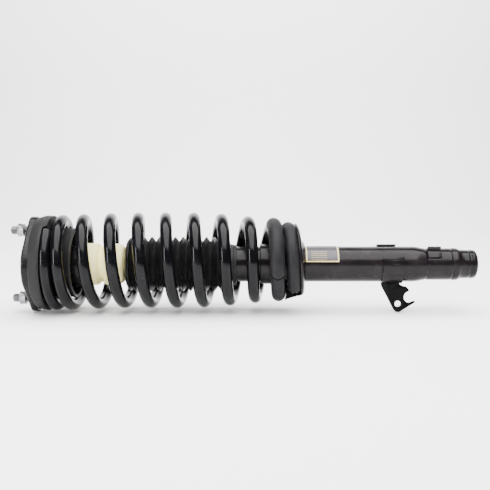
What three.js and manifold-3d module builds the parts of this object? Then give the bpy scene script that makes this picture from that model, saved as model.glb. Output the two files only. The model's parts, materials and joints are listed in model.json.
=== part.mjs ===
// A loaded suspension strut of the fork-mounted kind, lying on its side.
// Millimetres, +Z up. The strut's axis is X: the mount plate's outer face is at X = 0 and the
// fork end is at +X. Angles round the strut are in degrees from the top, towards -Y.

import * as THREE from 'three';
import { mergeVertices } from 'three/addons/utils/BufferGeometryUtils.js';
import Module from 'manifold-3d';

const wasm = await Module();
wasm.setup();

// ---- driving dimensions ----

const gap = 0.3;                 // clearance kept between neighbouring pieces

const studSpread = 49;           // pressed mount plate: a diamond with a stud in two corners
const lobeRadius = 19.5;
const flankSpread = 18.5;
const flankRadius = 40;
const plateDepth = 10.5;
const sheet = 3;
const recessRadius = 31;
const studSpots = [{ y: 0, z: studSpread }, { y: 0, z: -studSpread }];
const studRadius = 6;
const studTip = -27.8;
const nutSeat = -8.8;            // the nuts are run part of the way down the studs
const nutFlats = 17;
const bushPocketRadius = 27;

const rodRadius = 6.25;          // damper rod and the stack clamped on its threaded end
const rodThreadRadius = 5;
const rodTip = -15.5;
const rodShoulder = 16.9;
const rodPistonEnd = 338;
const pistonSeat = 309;

const seatLift = 2;              // the spring's upper seat sits this far above the strut's axis
const insulatorStart = 11.5;
const insulatorEnd = 27.4;
const insulatorRadius = 68;
const insulatorBackRadius = 65;
const skirtRadius = 49.4;
const skirtEnd = 66;
const cupSleeveRadius = 45;

const bumpRadius = 30;           // bump stop and boot
const bumpEnd = 134;
const bumpNoseEnd = 147;
const bootStart = 137;
const bootPeakRadius = 39.5;
const bootValleyRadius = 32.8;
const bootPitch = 11.2;
const bootPleats = 12;
const bootFirstPeak = 150.8;
const bootEnd = 295;
const bootWall = 1.6;

const wireRadius = 8.4;          // coil spring
const coilFrom = 39;
const coilTo = 3744;
const closedPitch = 16.4;
const coilStep = 15;
const sleeveJoint = 3354;        // where the two sleeves on the wire meet
const sleeveFrom = 3234;
const sleeveRadius = 10.5;
const sleeveBore = 8.9;

const tubeRadius = 25.3;         // outer tube of the damper
const tubeWall = 2;
const tubeStart = 272;
const tubeNeck = 550;
const tubeEnd = 629.7;
const strutEnd = 638;

const pressureTubeRadius = 17;
const pressureTubeBore = 15.2;
const guideRadius = tubeRadius - tubeWall - gap - 0.1;

const hubRadius = 28.8;          // lower spring seat
const hubStart = 328;
const seatBack = 392;
const seatSheet = 3;

// ---- materials ----

function finish(color, roughness, metalness) {
  return new THREE.MeshStandardMaterial({ color, roughness, metalness });
}

const blackPaint = finish(0x0c0c0e, 0.25, 0.1);
const zinc = finish(0xc3c3bf, 0.35, 0.9);
const chrome = finish(0xd8dadc, 0.12, 1);
const steel = finish(0x8d9094, 0.4, 0.9);
const rubber = finish(0x2b2a29, 0.8, 0);
const sleeveRubber = finish(0x4a4a4c, 0.7, 0);
const bootRubber = finish(0x121213, 0.5, 0);
const urethane = finish(0xe6dcae, 0.7, 0);
const plastic = finish(0x1b1b1d, 0.5, 0);
const sinteredIron = finish(0x55575a, 0.6, 0.7);
const bronze = finish(0x8a6b44, 0.4, 0.8);
const paper = finish(0x565058, 0.5, 0);

// ---- shapes ----

const along = new THREE.Vector3(1, 0, 0);
const back = new THREE.Vector3(0, 1, 0);
const up = new THREE.Vector3(0, 0, 1);
const front = new THREE.Vector3(0, -1, 0);

function signedVolume(geometry) {
  const triangles = geometry.index ? geometry.toNonIndexed() : geometry;
  const position = triangles.attributes.position;
  const [a, b, c] = [new THREE.Vector3(), new THREE.Vector3(), new THREE.Vector3()];
  let volume = 0;
  for (let i = 0; i < position.count; i += 3) {
    a.fromBufferAttribute(position, i);
    b.fromBufferAttribute(position, i + 1);
    c.fromBufferAttribute(position, i + 2);
    volume += a.dot(b.cross(c)) / 6;
  }
  return volume;
}

// A closed, indexed copy whose faces all look outward and whose points are shared.
function closed(geometry) {
  const bare = geometry.clone();
  bare.deleteAttribute('normal');
  bare.deleteAttribute('uv');
  const merged = mergeVertices(bare, 1e-4);
  const source = merged.index.array;
  const flip = signedVolume(merged) < 0;
  const corners = [];
  for (let i = 0; i < source.length; i += 3) {
    const [a, b, c] = [source[i], source[i + 1], source[i + 2]];
    if (a !== b && b !== c && c !== a) {
      corners.push(a, flip ? c : b, flip ? b : c);
    }
  }
  merged.setIndex(corners);
  return merged;
}

function solid(geometry) {
  const body = closed(geometry);
  return new wasm.Manifold(new wasm.Mesh({
    numProp: 3,
    vertProperties: Float32Array.from(body.attributes.position.array),
    triVerts: Uint32Array.from(body.index.array),
  }));
}

function geometryOf(manifold) {
  const { vertProperties, triVerts } = manifold.getMesh();
  const geometry = new THREE.BufferGeometry();
  geometry.setAttribute('position', new THREE.BufferAttribute(vertProperties, 3));
  geometry.setIndex(new THREE.BufferAttribute(triVerts, 1));
  return geometry;
}

function joined(...geometries) {
  return geometryOf(geometries.map(solid).reduce((whole, next) => whole.add(next)));
}

function cut(geometry, ...tools) {
  return geometryOf(tools.map(solid).reduce((whole, next) => whole.subtract(next), solid(geometry)));
}

// A solid of revolution about the strut's axis, from [x, radius] points round its section.
function turned(profile, sides = 32) {
  const points = profile.map(([x, radius]) => new THREE.Vector2(radius, x));
  const onAxis = profile[0][1] === 0 && profile.at(-1)[1] === 0;
  if (!onAxis) {
    points.push(points[0].clone());
  }
  const geometry = new THREE.LatheGeometry(points, sides);
  geometry.applyMatrix4(new THREE.Matrix4().makeBasis(up, along, back));
  return closed(geometry);
}

function ring(from, to, inner, outer, sides = 32) {
  return turned([[from, inner], [from, outer], [to, outer], [to, inner]], sides);
}

function rod(from, to, radius, y = 0, z = 0, sides = 24) {
  const geometry = new THREE.CylinderGeometry(radius, radius, to - from, sides);
  geometry.rotateZ(-Math.PI / 2);
  geometry.translate((from + to) / 2, y, z);
  return geometry;
}

function place(radius, degrees) {
  const angle = THREE.MathUtils.degToRad(degrees);
  return { y: -radius * Math.sin(angle), z: radius * Math.cos(angle) };
}

// A sheet curved round the strut between two angles.
function curvedSheet(from, to, inner, outer, startDegrees, endDegrees) {
  const start = THREE.MathUtils.degToRad(startDegrees + 90);
  const end = THREE.MathUtils.degToRad(endDegrees + 90);
  const section = new THREE.Shape();
  section.absarc(0, 0, outer, start, end, false);
  section.absarc(0, 0, inner, end, start, true);
  const geometry = new THREE.ExtrudeGeometry(section, {
    depth: to - from,
    bevelEnabled: false,
    curveSegments: 9,
  });
  geometry.applyMatrix4(new THREE.Matrix4().makeBasis(back, up, along));
  geometry.translate(from, 0, 0);
  return geometry;
}

function hexNut(from, to, flats, bore, y = 0, z = 0) {
  const corner = flats / 2 / Math.cos(Math.PI / 6);
  const hexagon = rod(from, to, corner, y, z, 6);
  return cut(hexagon, rod(from - 1, to + 1, bore, y, z));
}

// ---- top mount ----

function plateOutline(from, to, inset) {
  const corners = [[0, studSpread, lobeRadius], [0, -studSpread, lobeRadius],
    [flankSpread, 0, flankRadius], [-flankSpread, 0, flankRadius]];
  const rods = corners.map(([y, z, radius]) => solid(rod(from, to, radius - inset, y, z, 48)));
  return geometryOf(wasm.Manifold.hull(rods));
}

function mountPlate() {
  const holes = studSpots.map(({ y, z }) => rod(-1, sheet + 1, studRadius + gap, y, z));
  const pan = cut(plateOutline(0, plateDepth, 0), plateOutline(sheet, plateDepth + 1, sheet), ...holes);
  const collar = ring(0, plateDepth, bushPocketRadius - 1, bushPocketRadius + sheet);
  const pocket = rod(-1, plateDepth + 1, bushPocketRadius, 0, 0, 40);
  const recess = rod(-1, 0.5, recessRadius, 0, 0, 40);
  return cut(joined(pan, collar), pocket, recess);
}

function mountStud({ y, z }) {
  const headStart = sheet + gap;
  const headRadius = 8;
  const headHeight = 3.8;
  const shank = rod(studTip, headStart + 1, studRadius, y, z);
  return joined(shank, rod(headStart, headStart + headHeight, headRadius, y, z));
}

function mountNut({ y, z }) {
  const flangeRadius = 9.2;
  const flangeHeight = 1.8;
  const height = 9.4;
  const bore = studRadius + gap;
  const flange = cut(rod(nutSeat - flangeHeight - 1, nutSeat, flangeRadius, y, z),
    rod(nutSeat - height, 1, bore, y, z));
  return joined(hexNut(nutSeat - height, nutSeat - flangeHeight, nutFlats, bore, y, z), flange);
}

function mountBush() {
  const lip = 30;
  const inner = 12.6;
  const outer = bushPocketRadius - gap - 0.1;
  return turned([[-3.5, inner], [-3.5, lip - 1], [-2.5, lip], [-gap, lip], [-gap, outer],
    [11.6, outer], [11.6, inner]]);
}

// ---- upper spring seat, bump stop and boot ----

function upperSeatCup() {
  const flange = 48;
  const start = 8.9;
  const end = insulatorStart - gap;
  const inner = cupSleeveRadius - 2;
  return turned([[start, inner], [start, flange], [end, flange], [end, cupSleeveRadius],
    [52, cupSleeveRadius], [52, inner]]);
}

function upperInsulator() {
  const bore = cupSleeveRadius + gap;
  const flangeStart = insulatorStart;
  const seat = turned([[flangeStart, bore], [flangeStart, insulatorBackRadius - 1.5],
    [flangeStart + 1.5, insulatorBackRadius], [insulatorEnd - 3, insulatorRadius],
    [insulatorEnd - 1, insulatorRadius],
    [insulatorEnd, insulatorRadius - 1], [insulatorEnd, skirtRadius], [skirtEnd - 3, skirtRadius],
    [skirtEnd - 3, skirtRadius + 1.2], [skirtEnd, skirtRadius + 1.2], [skirtEnd, bore]], 48);
  const endStop = curvedSheet(insulatorEnd - 2, 33, skirtRadius - 1, insulatorRadius - 0.5, -60, 34);
  const body = joined(seat, endStop);
  body.translate(0, 0, seatLift);
  return cut(body, coilStretch(coilFrom - 1, coilFrom + 120, wireRadius + gap + 0.1));
}

function bumpStopCup() {
  const radius = 33;
  const wall = 2;
  const floor = 14.6;
  const rim = 74;
  return turned([[floor, rodThreadRadius + gap], [floor, radius], [rim, radius], [rim, radius - wall],
    [floor + wall, radius - wall], [floor + wall, rodThreadRadius + gap]]);
}

function bumpStop() {
  const bore = rodRadius + 1.2;
  const neck = 15;
  const nose = 18;
  return turned([[rodShoulder + gap, bore], [rodShoulder + gap, bumpRadius], [97, bumpRadius],
    [99.5, bumpRadius - 4.5], [104.5, bumpRadius - 4.5], [107, bumpRadius],
    [bumpEnd - 8, bumpRadius - 1], [bumpEnd - 2, bumpRadius - 4], [bumpEnd, bumpRadius - 7],
    [bumpEnd, neck], [140.6, neck], [140.6, nose], [144, nose], [bumpNoseEnd, nose - 3],
    [bumpNoseEnd, bore]], 32);
}

function dustBoot() {
  const lip = 15.4;
  const collarBore = tubeRadius + gap + 0.1;
  const outer = [[bootStart, lip], [bootStart, bumpRadius], [139.5, 34.6], [143.5, 37.8]];
  const inner = [[bootStart + bootWall, lip], [bootStart + bootWall, bumpRadius - 1],
    [140.6, 33], [144.5, 36.2]];
  for (let pleat = 0; pleat < bootPleats; pleat += 1) {
    const peak = bootFirstPeak + pleat * bootPitch;
    const valley = peak + bootPitch / 2;
    outer.push([peak, bootPeakRadius], [valley, bootValleyRadius]);
    inner.push([peak, bootPeakRadius - bootWall], [valley, bootValleyRadius - bootWall]);
  }
  outer.push([285, 29.2], [289, 27.8], [bootEnd, 27.2]);
  inner.push([284.6, 27.8], [285.2, collarBore], [bootEnd, collarBore]);
  return turned([...outer, ...inner.reverse()], 24);
}

// ---- coil spring ----

// One row a turn, where the wire passes the front: distance along the strut, mean radius, and
// how far the coil's own axis lies above the strut's.
const coilTurns = new THREE.CatmullRomCurve3([
  new THREE.Vector3(33.8, 59.6, 2),
  new THREE.Vector3(51.6, 60.2, 2.6),
  new THREE.Vector3(87.6, 60.2, 4),
  new THREE.Vector3(125.5, 60.2, 5.2),
  new THREE.Vector3(164, 60.2, 5.8),
  new THREE.Vector3(202.3, 60.2, 5.8),
  new THREE.Vector3(241.8, 60, 5.8),
  new THREE.Vector3(280.2, 57.7, 5.8),
  new THREE.Vector3(317.3, 53.9, 5.6),
  new THREE.Vector3(351.5, 50, 5.2),
  new THREE.Vector3(374.5, 44, 5),
], false, 'catmullrom');

// The open turns lean: how far forwards of its middle a turn stands at its top.
function coilLean(turn) {
  const open = THREE.MathUtils.smoothstep(turn, 0.4, 2)
    * (1 - THREE.MathUtils.smoothstep(turn, 8.6, 9.8));
  return open * (1.8 - 0.9 * (turn - 2));
}

function coilPoint(degrees) {
  const lastTurn = coilTurns.points.length - 1;
  const turn = (degrees - 90) / 360;
  const inside = THREE.MathUtils.clamp(turn, 0, lastTurn);
  const { x, y: radius, z: lift } = coilTurns.getPoint(inside / lastTurn);
  const { y, z } = place(radius, degrees);
  const middle = x + (turn - inside) * closedPitch;
  return new THREE.Vector3(middle - coilLean(turn) * (z / radius), y, z + lift);
}

class CoilPath extends THREE.Curve {
  constructor(from, to) {
    super();
    this.from = from;
    this.to = to;
  }

  getPoint(t) {
    return coilPoint(THREE.MathUtils.lerp(this.from, this.to, t));
  }

  // Steps of even angle, so that stretches of the same coil share their corners.
  getUtoTmapping(u) {
    return u;
  }
}

function roundSection(radius, sides) {
  const section = new THREE.Path();
  for (let side = 0; side < sides; side += 1) {
    const angle = (side / sides) * 2 * Math.PI;
    const [x, y] = [radius * Math.cos(angle), radius * Math.sin(angle)];
    if (side === 0) {
      section.moveTo(x, y);
    } else {
      section.lineTo(x, y);
    }
  }
  section.closePath();
  return section;
}

// The stretch of the coil between two angles, solid or with a bore.
function coilStretch(from, to, radius, bore = 0, sides = 8) {
  const section = new THREE.Shape();
  section.curves = roundSection(radius, sides).curves;
  if (bore > 0) {
    section.holes.push(roundSection(bore, sides));
  }
  return closed(new THREE.ExtrudeGeometry(section, {
    steps: Math.round((to - from) / coilStep),
    extrudePath: new CoilPath(from, to),
  }));
}

// ---- damper ----

function pistonRod() {
  const tail = rodThreadRadius - gap;
  return turned([[rodTip, 0], [rodTip, rodThreadRadius - 0.8], [rodTip + 1, rodThreadRadius],
    [rodShoulder, rodThreadRadius], [rodShoulder, rodRadius], [pistonSeat, rodRadius],
    [pistonSeat, tail], [rodPistonEnd, tail], [rodPistonEnd, 0]], 24);
}

function piston() {
  const radius = 14.5;
  const grooveRadius = 12.7;
  const bore = rodThreadRadius;
  return turned([[311, bore], [311, radius], [314, radius], [314, grooveRadius],
    [324, grooveRadius], [324, radius], [327, radius], [327, bore]], 24);
}

function damperTube() {
  const neckRadius = 22.8;
  const endRadius = 20.5;
  const outer = [[tubeStart, tubeRadius], [tubeNeck, tubeRadius], [560, 23.6], [566, neckRadius - 0.8],
    [568, neckRadius], [601, neckRadius - 0.6], [603, neckRadius + 0.6], [610, neckRadius + 0.4],
    [613, endRadius + 0.9], [625, endRadius], [627, endRadius - 0.8], [tubeEnd, endRadius]];
  const inner = [[tubeEnd, endRadius - tubeWall - 0.8], [612, endRadius - tubeWall - 0.4],
    [600, neckRadius - tubeWall - 0.8], [566, neckRadius - tubeWall - 0.8],
    [tubeNeck, tubeRadius - tubeWall], [tubeStart, tubeRadius - tubeWall]];
  return turned([...outer, ...inner], 36);
}

function tubeBottomCap() {
  const plug = 17.2;
  const weld = tubeEnd + gap;
  return turned([[624, 0], [624, plug], [weld, plug], [weld, 20.5], [634, 20.5], [636.6, 19.2],
    [strutEnd, 16.5], [strutEnd, 0]], 48);
}

function tubeTopCap() {
  const rim = 27.2;
  const bore = tubeRadius + gap;
  const face = tubeStart - gap;
  const hole = rodRadius + 1.2;
  return turned([[270, hole], [270, rim - 1], [271, rim], [284, rim], [284, bore], [face, bore],
    [face, hole]], 48);
}

// ---- lower spring seat ----

const sleeveGrip = sleeveRadius + gap + 0.2;
const stepFrom = coilTo + 4;
const stepWidth = 10;

// The sheet's section under the wire at one angle, as [x, radius] points.
function seatSection(degrees) {
  const wire = coilPoint(degrees);
  const reach = Math.hypot(wire.y, wire.z);
  const floor = wire.x + sleeveGrip;
  const rim = reach + 6.5;
  const root = reach - 8;
  const slope = (seatBack - floor) * 0.35;
  const collar = hubRadius + gap;
  const bore = tubeRadius + gap;
  const seam = seatBack - seatSheet;
  return [[floor - 2.4, rim], [floor, reach + 2], [floor - 0.4, reach - 4], [floor - 3, root],
    [Math.min(floor + slope, seam), collar], [seam, collar], [seam, bore], [seatBack, bore],
    [seatBack, collar + 1], [floor + 1, root + 2], [floor + seatSheet, reach - 3],
    [floor + seatSheet, reach + 3], [floor + 0.6, rim + 1]];
}

function lowerSeat() {
  const sections = [];
  for (let degrees = stepFrom - 360 + stepWidth; degrees <= stepFrom; degrees += 10) {
    sections.push({ degrees, points: seatSection(Math.min(degrees, coilTo)) });
  }
  const count = sections[0].points.length;
  const corners = [];
  for (const { degrees, points } of sections) {
    for (const [x, radius] of points) {
      const { y, z } = place(radius, degrees);
      corners.push(x, y, z);
    }
  }
  const faces = [];
  for (let row = 0; row < sections.length; row += 1) {
    const next = (row + 1) % sections.length;
    for (let i = 0; i < count; i += 1) {
      const j = (i + 1) % count;
      const [a, b, c, d] = [row * count + i, row * count + j, next * count + j, next * count + i];
      faces.push(a, b, c, a, c, d);
    }
  }
  const pan = new THREE.BufferGeometry();
  pan.setAttribute('position', new THREE.Float32BufferAttribute(corners, 3));
  pan.setIndex(faces);
  return closed(pan);
}

// ---- brackets on the tube ----

function bracketArm() {
  const thickness = 2.6;
  const face = -6.4;
  const degrees = THREE.MathUtils.degToRad;
  const outline = new THREE.Shape();
  outline.moveTo(526.9, -25.2);
  outline.lineTo(501.8, -25.2);
  outline.lineTo(502, -30.5);
  outline.absarc(526.5, -61.6, 7, degrees(209.4), degrees(303.1), false);
  outline.lineTo(551.3, -54.2);
  outline.lineTo(549.6, -52.2);
  outline.absarc(543.3, -46.8, 8.4, degrees(-100), degrees(100), true);
  outline.lineTo(542.2, -36.2);
  outline.lineTo(538.3, -31.5);
  outline.lineTo(534.5, -31.1);
  outline.lineTo(528.9, -28.8);
  const hole = new THREE.Path();
  hole.absarc(526.3, -56.6, 4.5, 0, 2 * Math.PI, true);
  outline.holes.push(hole);
  const geometry = new THREE.ExtrudeGeometry(outline, {
    depth: thickness,
    bevelEnabled: false,
    curveSegments: 14,
  });
  geometry.applyMatrix4(new THREE.Matrix4().makeBasis(along, up, front));
  geometry.translate(0, face, 0);
  return geometry;
}

function hoseBracket() {
  const strap = curvedSheet(501.5, 531, tubeRadius + gap + 0.1, 28.3, 62, 168);
  return joined(strap, bracketArm());
}

function locatingTab() {
  const seatRadius = 23.2;
  const base = curvedSheet(566, 585, seatRadius, seatRadius + 2.2, 26, 62);
  const fin = curvedSheet(566, 585, seatRadius + 1, 30, 26, 31);
  return joined(base, fin);
}

// ---- assembly ----

const group = new THREE.Group();

function add(name, geometry, material) {
  const mesh = new THREE.Mesh(geometry, material);
  mesh.name = name;
  group.add(mesh);
  return mesh;
}

add('mount_plate', mountPlate(), blackPaint);
studSpots.forEach((spot, index) => {
  add(`mount_stud_${index + 1}`, mountStud(spot), zinc);
  add(`mount_nut_${index + 1}`, mountNut(spot), zinc);
});
add('mount_bush', mountBush(), rubber);
add('bush_sleeve', ring(-4.2, 12, rodThreadRadius + gap, 12.2, 32), steel);
add('upper_rod_washer', ring(-6.5, -4.5, rodThreadRadius + gap, 17, 32), zinc);
add('lower_rod_washer', ring(12.3, 14.3, rodThreadRadius + gap, 20, 32), zinc);
add('rod_nut', hexNut(-13, -6.8, nutFlats, rodThreadRadius + gap), zinc);

add('upper_seat_cup', upperSeatCup(), blackPaint).position.z = seatLift;
add('upper_spring_insulator', upperInsulator(), rubber);
add('bump_stop_cup', bumpStopCup(), blackPaint);
add('bump_stop', bumpStop(), urethane);
add('dust_boot', dustBoot(), bootRubber);

add('coil_spring', coilStretch(coilFrom, coilTo, wireRadius), blackPaint);
add('coil_sleeve_upper', coilStretch(sleeveFrom, sleeveJoint, sleeveRadius, sleeveBore), sleeveRubber);
add('coil_sleeve_lower', coilStretch(sleeveJoint + 1, coilTo, sleeveRadius - 0.5, sleeveBore),
  sleeveRubber);

add('piston_rod', pistonRod(), chrome);
add('rebound_stop', ring(300, 306, rodRadius + gap, 12, 24), plastic);
add('rebound_shims', ring(309.3, 310.7, rodThreadRadius, 12, 24), steel);
add('piston', piston(), sinteredIron);
add('piston_band', ring(314.3, 323.7, 13, 14.8, 24), plastic);
add('compression_shims', ring(327.3, 328.7, rodThreadRadius, 11, 24), steel);
add('piston_nut', hexNut(329, 336, 15, rodThreadRadius), steel);

add('damper_tube', damperTube(), blackPaint);
add('tube_bottom_cap', tubeBottomCap(), blackPaint);
add('tube_top_cap', tubeTopCap(), blackPaint);
add('rod_seal', ring(272.3, 277, rodRadius + gap, guideRadius, 24), rubber);
add('rod_guide', ring(277.3, 297, 8.5, guideRadius, 24), sinteredIron);
add('guide_bush', ring(278, 296, rodRadius + gap, 8.2, 24), bronze);
add('pressure_tube', ring(297.3, 611.7, pressureTubeBore, pressureTubeRadius, 32), steel);
add('base_valve', turned([[612, 0], [612, 14], [615, 17], [623.7, 17], [623.7, 0]], 24), sinteredIron);

add('lower_spring_seat', lowerSeat(), blackPaint);
add('seat_hub', turned([[hubStart, tubeRadius + gap], [hubStart, hubRadius - 1],
  [hubStart + 1, hubRadius], [seatBack - seatSheet - gap, hubRadius],
  [seatBack - seatSheet - gap, tubeRadius + gap]], 48), blackPaint);
add('hose_bracket', hoseBracket(), blackPaint);
add('bracket_top_tab', curvedSheet(497, 524, tubeRadius + gap + 0.1, 28.6, -50, -4), blackPaint);
add('locating_tab', locatingTab(), blackPaint);
add('tube_label', curvedSheet(seatBack + 0.6, 440, tubeRadius + gap + 0.1, tubeRadius + 0.8, -30, 78),
  paper);

export default group;
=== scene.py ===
import json
import math

import bmesh
import bpy
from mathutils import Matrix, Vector


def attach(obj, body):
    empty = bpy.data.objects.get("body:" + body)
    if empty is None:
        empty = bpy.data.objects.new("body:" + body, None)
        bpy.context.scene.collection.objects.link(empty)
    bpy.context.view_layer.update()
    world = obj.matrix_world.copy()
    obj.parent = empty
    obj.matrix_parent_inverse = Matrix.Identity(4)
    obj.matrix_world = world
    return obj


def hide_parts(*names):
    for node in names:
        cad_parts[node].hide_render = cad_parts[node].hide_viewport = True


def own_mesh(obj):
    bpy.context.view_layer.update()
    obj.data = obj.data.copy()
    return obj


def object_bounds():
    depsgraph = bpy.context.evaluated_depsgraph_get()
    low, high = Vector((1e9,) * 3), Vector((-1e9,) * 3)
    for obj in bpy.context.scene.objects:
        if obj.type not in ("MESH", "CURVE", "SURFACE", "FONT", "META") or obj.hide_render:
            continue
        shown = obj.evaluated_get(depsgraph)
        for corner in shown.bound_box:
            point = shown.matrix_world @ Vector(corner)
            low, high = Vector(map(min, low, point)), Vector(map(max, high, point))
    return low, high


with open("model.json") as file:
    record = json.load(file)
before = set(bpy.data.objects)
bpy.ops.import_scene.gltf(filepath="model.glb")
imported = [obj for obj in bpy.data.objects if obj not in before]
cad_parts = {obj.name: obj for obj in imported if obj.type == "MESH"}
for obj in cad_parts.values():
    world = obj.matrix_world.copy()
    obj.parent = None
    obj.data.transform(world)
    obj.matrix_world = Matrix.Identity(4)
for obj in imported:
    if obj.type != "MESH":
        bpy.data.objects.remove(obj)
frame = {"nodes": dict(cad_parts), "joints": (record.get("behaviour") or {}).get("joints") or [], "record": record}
cad_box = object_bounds()

# ---------------------------------------------------------------------------
# Mount plate. Pressed from 3 mm steel in one hit: a flat diamond with a stud in
# its top and bottom corners, a bead round the middle, a bent rim and a drawn
# collar that takes the bush. Powder coated gloss black.
# ---------------------------------------------------------------------------

MM = 0.001
STUD_SPREAD, LOBE_RADIUS = 49.0, 19.5
FLANK_SPREAD, FLANK_RADIUS = 18.5, 40.0
PLATE_DEPTH = 10.5
SHEET = 3.0


def place(radius, degrees):
    """The point at an angle from the top, towards the viewer, across the strut."""
    angle = math.radians(degrees)
    return -radius * math.sin(angle), radius * math.cos(angle)


def stood(name, data):
    """A new object, standing in the scene."""
    thing = bpy.data.objects.new(name, data)
    bpy.context.scene.collection.objects.link(thing)
    return thing


def finished(name, mesh, merge, smooth_to):
    """A piece from a rough mesh: doubles merged, faces turned outwards, smoothed."""
    work = bmesh.new()
    work.from_mesh(mesh)
    bmesh.ops.remove_doubles(work, verts=work.verts, dist=merge)
    bmesh.ops.recalc_face_normals(work, faces=work.faces)
    work.to_mesh(mesh)
    work.free()
    mesh.shade_smooth()
    mesh.set_sharp_from_angle(angle=math.radians(smooth_to))
    return stood(name, mesh)


def built(name, points, faces, smooth_to=34):
    """A piece from points in millimetres and the faces between them."""
    mesh = bpy.data.meshes.new(name)
    mesh.from_pydata([Vector(point) * MM for point in points], [], faces)
    return finished(name, mesh, 1e-7, smooth_to)


def at_angle(value, degrees):
    return value(degrees) if callable(value) else value


def ring_faces(rings, sides, closed=True, base=0):
    """Faces between each ring of corners and the next, and back to the first if closed."""
    faces = []
    for ring in range(rings if closed else rings - 1):
        here = base + ring * sides
        after = base + (ring + 1) % rings * sides
        for side in range(sides):
            turn = (side + 1) % sides
            faces.append((here + side, here + turn, after + turn, after + side))
    return faces


def lofted(name, rings, sides=128, lift=0.0, smooth_to=34):
    """A shell of rings round the strut. A ring is (x, radius), and either may follow the angle."""
    capped = rings[0][1] == 0
    points = []
    for x, radius in rings:
        for side in range(sides):
            degrees = 360 * side / sides
            y, z = place(at_angle(radius, degrees), degrees)
            points.append((at_angle(x, degrees), y, z + lift))
    return built(name, points, ring_faces(len(rings), sides, not capped), smooth_to)


def rounded(corners, steps=4, support=0.5):
    """A section's corners (x, radius, fillet) worked into points, with arcs at the fillets."""
    points = []
    count = len(corners)
    for index, corner in enumerate(corners):
        here = Vector(corner[:2])
        fillet = corner[2] if len(corner) > 2 else 0
        before = Vector(corners[index - 1][:2]) - here
        after = Vector(corners[(index + 1) % count][:2]) - here
        if not fillet or before.length < 1e-6 or after.length < 1e-6:
            points.append(tuple(here))
            continue
        reach = min(fillet, 0.45 * before.length, 0.45 * after.length)
        spare = min(support, 0.04 * min(before.length, after.length))
        start = here + before.normalized() * reach
        end = here + after.normalized() * reach
        points.append(tuple(start + before.normalized() * spare))
        for step in range(steps + 1):
            t = step / steps
            points.append(tuple(start * (1 - t) ** 2 + here * 2 * t * (1 - t) + end * t * t))
        points.append(tuple(end + after.normalized() * spare))
    return points


class Signal:
    """A value in a finish's tree, so that a pattern reads as arithmetic."""

    def __init__(self, finish, socket):
        self.finish = finish
        self.socket = socket

    def _math(self, operation, *values):
        return self.finish.node("ShaderNodeMath", {"operation": operation}, dict(enumerate(values)))

    def __add__(self, other):
        return self._math("ADD", self, other)

    def __sub__(self, other):
        return self._math("SUBTRACT", self, other)

    def __rsub__(self, other):
        return self._math("SUBTRACT", other, self)

    def __mul__(self, other):
        return self._math("MULTIPLY", self, other)

    def __truediv__(self, other):
        return self._math("DIVIDE", self, other)

    def __gt__(self, other):
        return self._math("GREATER_THAN", self, other)

    def __lt__(self, other):
        return self._math("LESS_THAN", self, other)

    def absolute(self):
        return self._math("ABSOLUTE", self)

    def fraction(self):
        return self._math("FRACT", self)

    __radd__ = __add__
    __rmul__ = __mul__


class Finish:
    """A material under construction: one Principled shader and what drives it."""

    def __init__(self, name, **constants):
        self.material = bpy.data.materials.new(name)
        self.material.use_nodes = True
        self.tree = self.material.node_tree
        self.tree.nodes.clear()
        self.shader = self.tree.nodes.new("ShaderNodeBsdfPrincipled")
        output = self.tree.nodes.new("ShaderNodeOutputMaterial")
        self.tree.links.new(self.shader.outputs[0], output.inputs[0])
        for socket, value in constants.items():
            self.shader.inputs[socket.replace("_", " ").title().replace("Ior", "IOR")].default_value = value
        self.place = self.node("ShaderNodeTexCoord", {}, {}, "Object")

    def feed(self, socket, value):
        if isinstance(value, Signal):
            self.tree.links.new(value.socket, socket)
        else:
            socket.default_value = value

    def node(self, kind, settings, values, output=0):
        made = self.tree.nodes.new(kind)
        for setting, value in settings.items():
            setattr(made, setting, value)
        for socket, value in values.items():
            self.feed(made.inputs[socket], value)
        return Signal(self, made.outputs[output])

    def noise(self, grain_mm, detail=3.0, place=None, rough=0.5):
        """Noise from 0 to 1 whose blotches are about grain_mm across."""
        return self.node("ShaderNodeTexNoise", {}, {
            "Vector": place or self.place, "Scale": 1 / (grain_mm * MM),
            "Detail": detail, "Roughness": rough})

    def band(self, value, low, high, to_low=0.0, to_high=1.0):
        """value eased from low..high to to_low..to_high, and held outside."""
        return self.node("ShaderNodeMapRange", {"interpolation_type": "SMOOTHSTEP"}, {
            0: value, 1: low, 2: high, 3: to_low, 4: to_high})

    def mix(self, plain, other, share):
        return self.node("ShaderNodeMix", {"data_type": "RGBA"}, {
            0: share, 6: (*plain, 1) if isinstance(plain, tuple) else plain,
            7: (*other, 1) if isinstance(other, tuple) else other}, 2)

    def axes(self):
        made = self.tree.nodes.new("ShaderNodeSeparateXYZ")
        self.tree.links.new(self.place.socket, made.inputs[0])
        return [Signal(self, socket) for socket in made.outputs]

    def radius(self):
        """Distance from the strut's axis, in metres."""
        _, y, z = self.axes()
        return self.node("ShaderNodeMath", {"operation": "SQRT"}, {0: y * y + z * z})

    def stretched(self, x, y, z):
        """Places with each axis scaled, so that a noise is drawn out along one."""
        return self.node("ShaderNodeMapping", {"vector_type": "POINT"}, {
            "Vector": self.place, "Scale": (x, y, z)})

    def bump(self, height, depth_mm, strength=1.0, under=None):
        values = {"Height": height, "Distance": depth_mm * MM, "Strength": strength}
        if under:
            values["Normal"] = under
        return self.node("ShaderNodeBump", {}, values)

    def wear(self, **links):
        """Link the sockets that change over the surface, and hand the material over."""
        for socket, value in links.items():
            self.feed(self.shader.inputs[socket.replace("_", " ").title()], value)
        return self.material


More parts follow.
